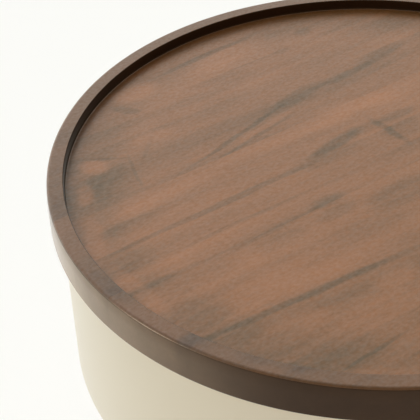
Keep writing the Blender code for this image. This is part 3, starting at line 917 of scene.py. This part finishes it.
# Light: a broad soft key from behind, as from a tall window, and a low cool fill from the left. The tray has
# a lower key of its own, so that its rim throws a wide soft shade, and the main key is kept off it.
# The room is bright and cool towards the window. In front and on the right it is dim and warm.
KEY_FROM = Vector((-0.22, 0.545, 0.809))
KEY_LEVEL = 0.595
KEY_SPREAD = math.radians(50)
KEY_TINT = "#FFF8F9"
TRAY_KEY_FROM = Vector((-0.337, 0.833, 0.438))
TRAY_KEY_LEVEL = 1.08
TRAY_KEY_SPREAD = math.radians(40)
FILL_FROM = Vector((-0.92, -0.35, 0.17))
FILL_LEVEL = 0.19
FILL_SPREAD = math.radians(60)
FILL_TINT = "#F6FBFF"
GLOW_PLACE = Vector((-0.85, 0.0, 0.002))
GLOW_DIAMETER = 1.1
GLOW_WATTS = 10.0
GLOW_TINT = "#FFF1D6"
GLINT_PLACE = Vector((-0.486, -0.258, 0.470))
GLINT_FROM = Vector((-0.96, -0.26, -0.086))
GLINT_WIDTH = 0.16
GLINT_HEIGHT = 0.03
GLINT_WATTS = 0.58
ROOM_BRIGHT_SIDE = (-0.45, 0.70, 0.55)
ROOM_DIM = "#70604A"
ROOM_MIDDLE = "#8F8777"
ROOM_BRIGHT = "#EEFBF8"


def soft_sun(name, came_from, level, spread, tint):
    """A broad lamp that shines from one side and is left out of reflections."""
    lamp = bpy.data.lights.new(name, "SUN")
    lamp.energy = level * math.pi
    lamp.angle = spread
    lamp.color = linear(tint)[:3]
    sun = bpy.data.objects.new(name, lamp)
    sun.rotation_euler = came_from.to_track_quat("Z", "Y").to_euler()
    sun.visible_glossy = False
    bpy.context.scene.collection.objects.link(sun)
    return sun


def tray_reflection(name, place, came_from, width, height, watts):
    """An oval, warm lamp that shows only as a reflection on the tray."""
    lamp = bpy.data.lights.new(name, "AREA")
    lamp.shape = "ELLIPSE"
    lamp.size = width
    lamp.size_y = height
    lamp.energy = watts
    lamp.color = linear(GLOW_TINT)[:3]
    disc = bpy.data.objects.new(name, lamp)
    disc.location = place
    disc.rotation_euler = came_from.to_track_quat("Z", "Y").to_euler()
    disc.visible_camera = False
    disc.visible_diffuse = False
    disc.light_linking.receiver_collection = tray_only
    bpy.context.scene.collection.objects.link(disc)


tray_only = bpy.data.collections.new("tray_only")
tray_only.objects.link(tray_top)
all_but_tray = bpy.data.collections.new("all_but_tray")
all_but_tray.objects.link(tray_top)
all_but_tray.collection_objects[0].light_linking.link_state = "EXCLUDE"
key = soft_sun("soft_key", KEY_FROM, KEY_LEVEL, KEY_SPREAD, KEY_TINT)
key.light_linking.receiver_collection = all_but_tray
tray_key = soft_sun("tray_key", TRAY_KEY_FROM, TRAY_KEY_LEVEL, TRAY_KEY_SPREAD, KEY_TINT)
tray_key.light_linking.receiver_collection = tray_only
soft_sun("low_fill", FILL_FROM, FILL_LEVEL, FILL_SPREAD, FILL_TINT)

# A sunlit patch of floor on the left shows on the tray's side. A low strip shows as a thin line on the rim,
# and lies below the panel's plane, so that the panel never mirrors it
tray_reflection("floor_glow", GLOW_PLACE, -UP, GLOW_DIAMETER, GLOW_DIAMETER, GLOW_WATTS)
tray_reflection("rim_glint", GLINT_PLACE, GLINT_FROM, GLINT_WIDTH, GLINT_HEIGHT, GLINT_WATTS)

room = bpy.data.worlds.new("studio_room")
room.use_nodes = True
room.node_tree.nodes.clear()
tree = room.node_tree
towards = node(tree, "VectorMath", {"Vector": node(tree, "TexCoord", out="Generated"),
                                    "Vector_001": ROOM_BRIGHT_SIDE}, out="Value", operation="DOT_PRODUCT")
share = node(tree, "MapRange", {"Value": towards, "From Min": -1.0})
walls = node(tree, "ValToRGB", {"Fac": share}, stops=[(0.05, linear(ROOM_DIM)), (0.62, linear(ROOM_MIDDLE)),
                                                      (0.91, linear(ROOM_BRIGHT))])
node(tree, "OutputWorld", {"Surface": node(tree, "Background", {"Color": walls})})
bpy.context.scene.world = room


# Camera: the photograph's view, from in front and well above, close in on the left of the tray.
# Its place, tilt, roll and lens were fitted to the tray's circles and to the drum's edges.
CAMERA_PLACE = (-0.1136, -0.7526, 1.0472)
CAMERA_TILT = math.radians(51.91)
CAMERA_ROLL = math.radians(-2.70)
CAMERA_LENS_MM = 115.7
SENSOR_MM = 36.0

lens = bpy.data.cameras.new("photo_camera")
lens.lens = CAMERA_LENS_MM
lens.sensor_width = SENSOR_MM
camera = bpy.data.objects.new("photo_camera", lens)
camera.matrix_world = (Matrix.Translation(CAMERA_PLACE) @ Matrix.Rotation(CAMERA_TILT, 4, "X")
                       @ Matrix.Rotation(CAMERA_ROLL, 4, "Z"))
bpy.context.scene.collection.objects.link(camera)
bpy.context.scene.camera = camera
bpy.context.scene.view_settings.view_transform = "Standard"
